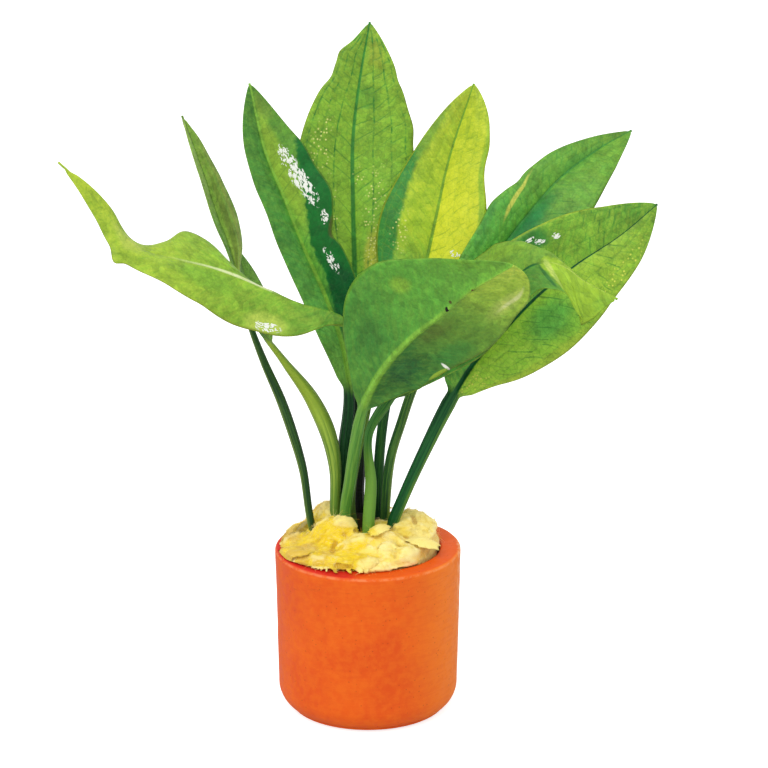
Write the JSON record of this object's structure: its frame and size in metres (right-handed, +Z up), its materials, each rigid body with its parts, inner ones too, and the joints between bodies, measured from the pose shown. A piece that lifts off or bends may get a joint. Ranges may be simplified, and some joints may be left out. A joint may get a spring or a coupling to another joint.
{
  "type": "potted amazon sword plant",
  "caption": "Young broad-leaved aquarium sword plant with long stalks, rooted in a wool plug in a small clay pot with a thick rounded rim.",
  "frame": {"origin": "centre of the pot's flat underside, which rests on the ground", "axes": "+Z up along the pot's axis, +X to the right and -Y towards the viewer of the picture"},
  "size_m": [0.1684, 0.0976, 0.1931],
  "materials": {
    "fired_clay": "unglazed, smooth and matte",
    "wool": "loose matted fibres",
    "leaf_deep_green": "smooth, slightly glossy living leaf",
    "leaf_mid_green": "smooth, slightly glossy living leaf",
    "leaf_yellow_green": "smooth, slightly glossy living leaf",
    "leaf_olive": "smooth, slightly glossy living leaf"
  },
  "bodies": {
    "root": {"pot": "fired_clay", "wool_plug": "wool", "leaf_left_arching": "leaf_yellow_green", "leaf_left_narrow": "leaf_olive", "leaf_left_short": "leaf_olive", "leaf_left_broad": "leaf_deep_green", "leaf_back_tall": "leaf_mid_green", "leaf_back_yellow": "leaf_yellow_green", "leaf_right_upper": "leaf_deep_green", "leaf_right_lower": "leaf_mid_green", "leaf_front_right": "leaf_mid_green", "leaf_front_broad": "leaf_deep_green"}
  },
  "joints": []
}
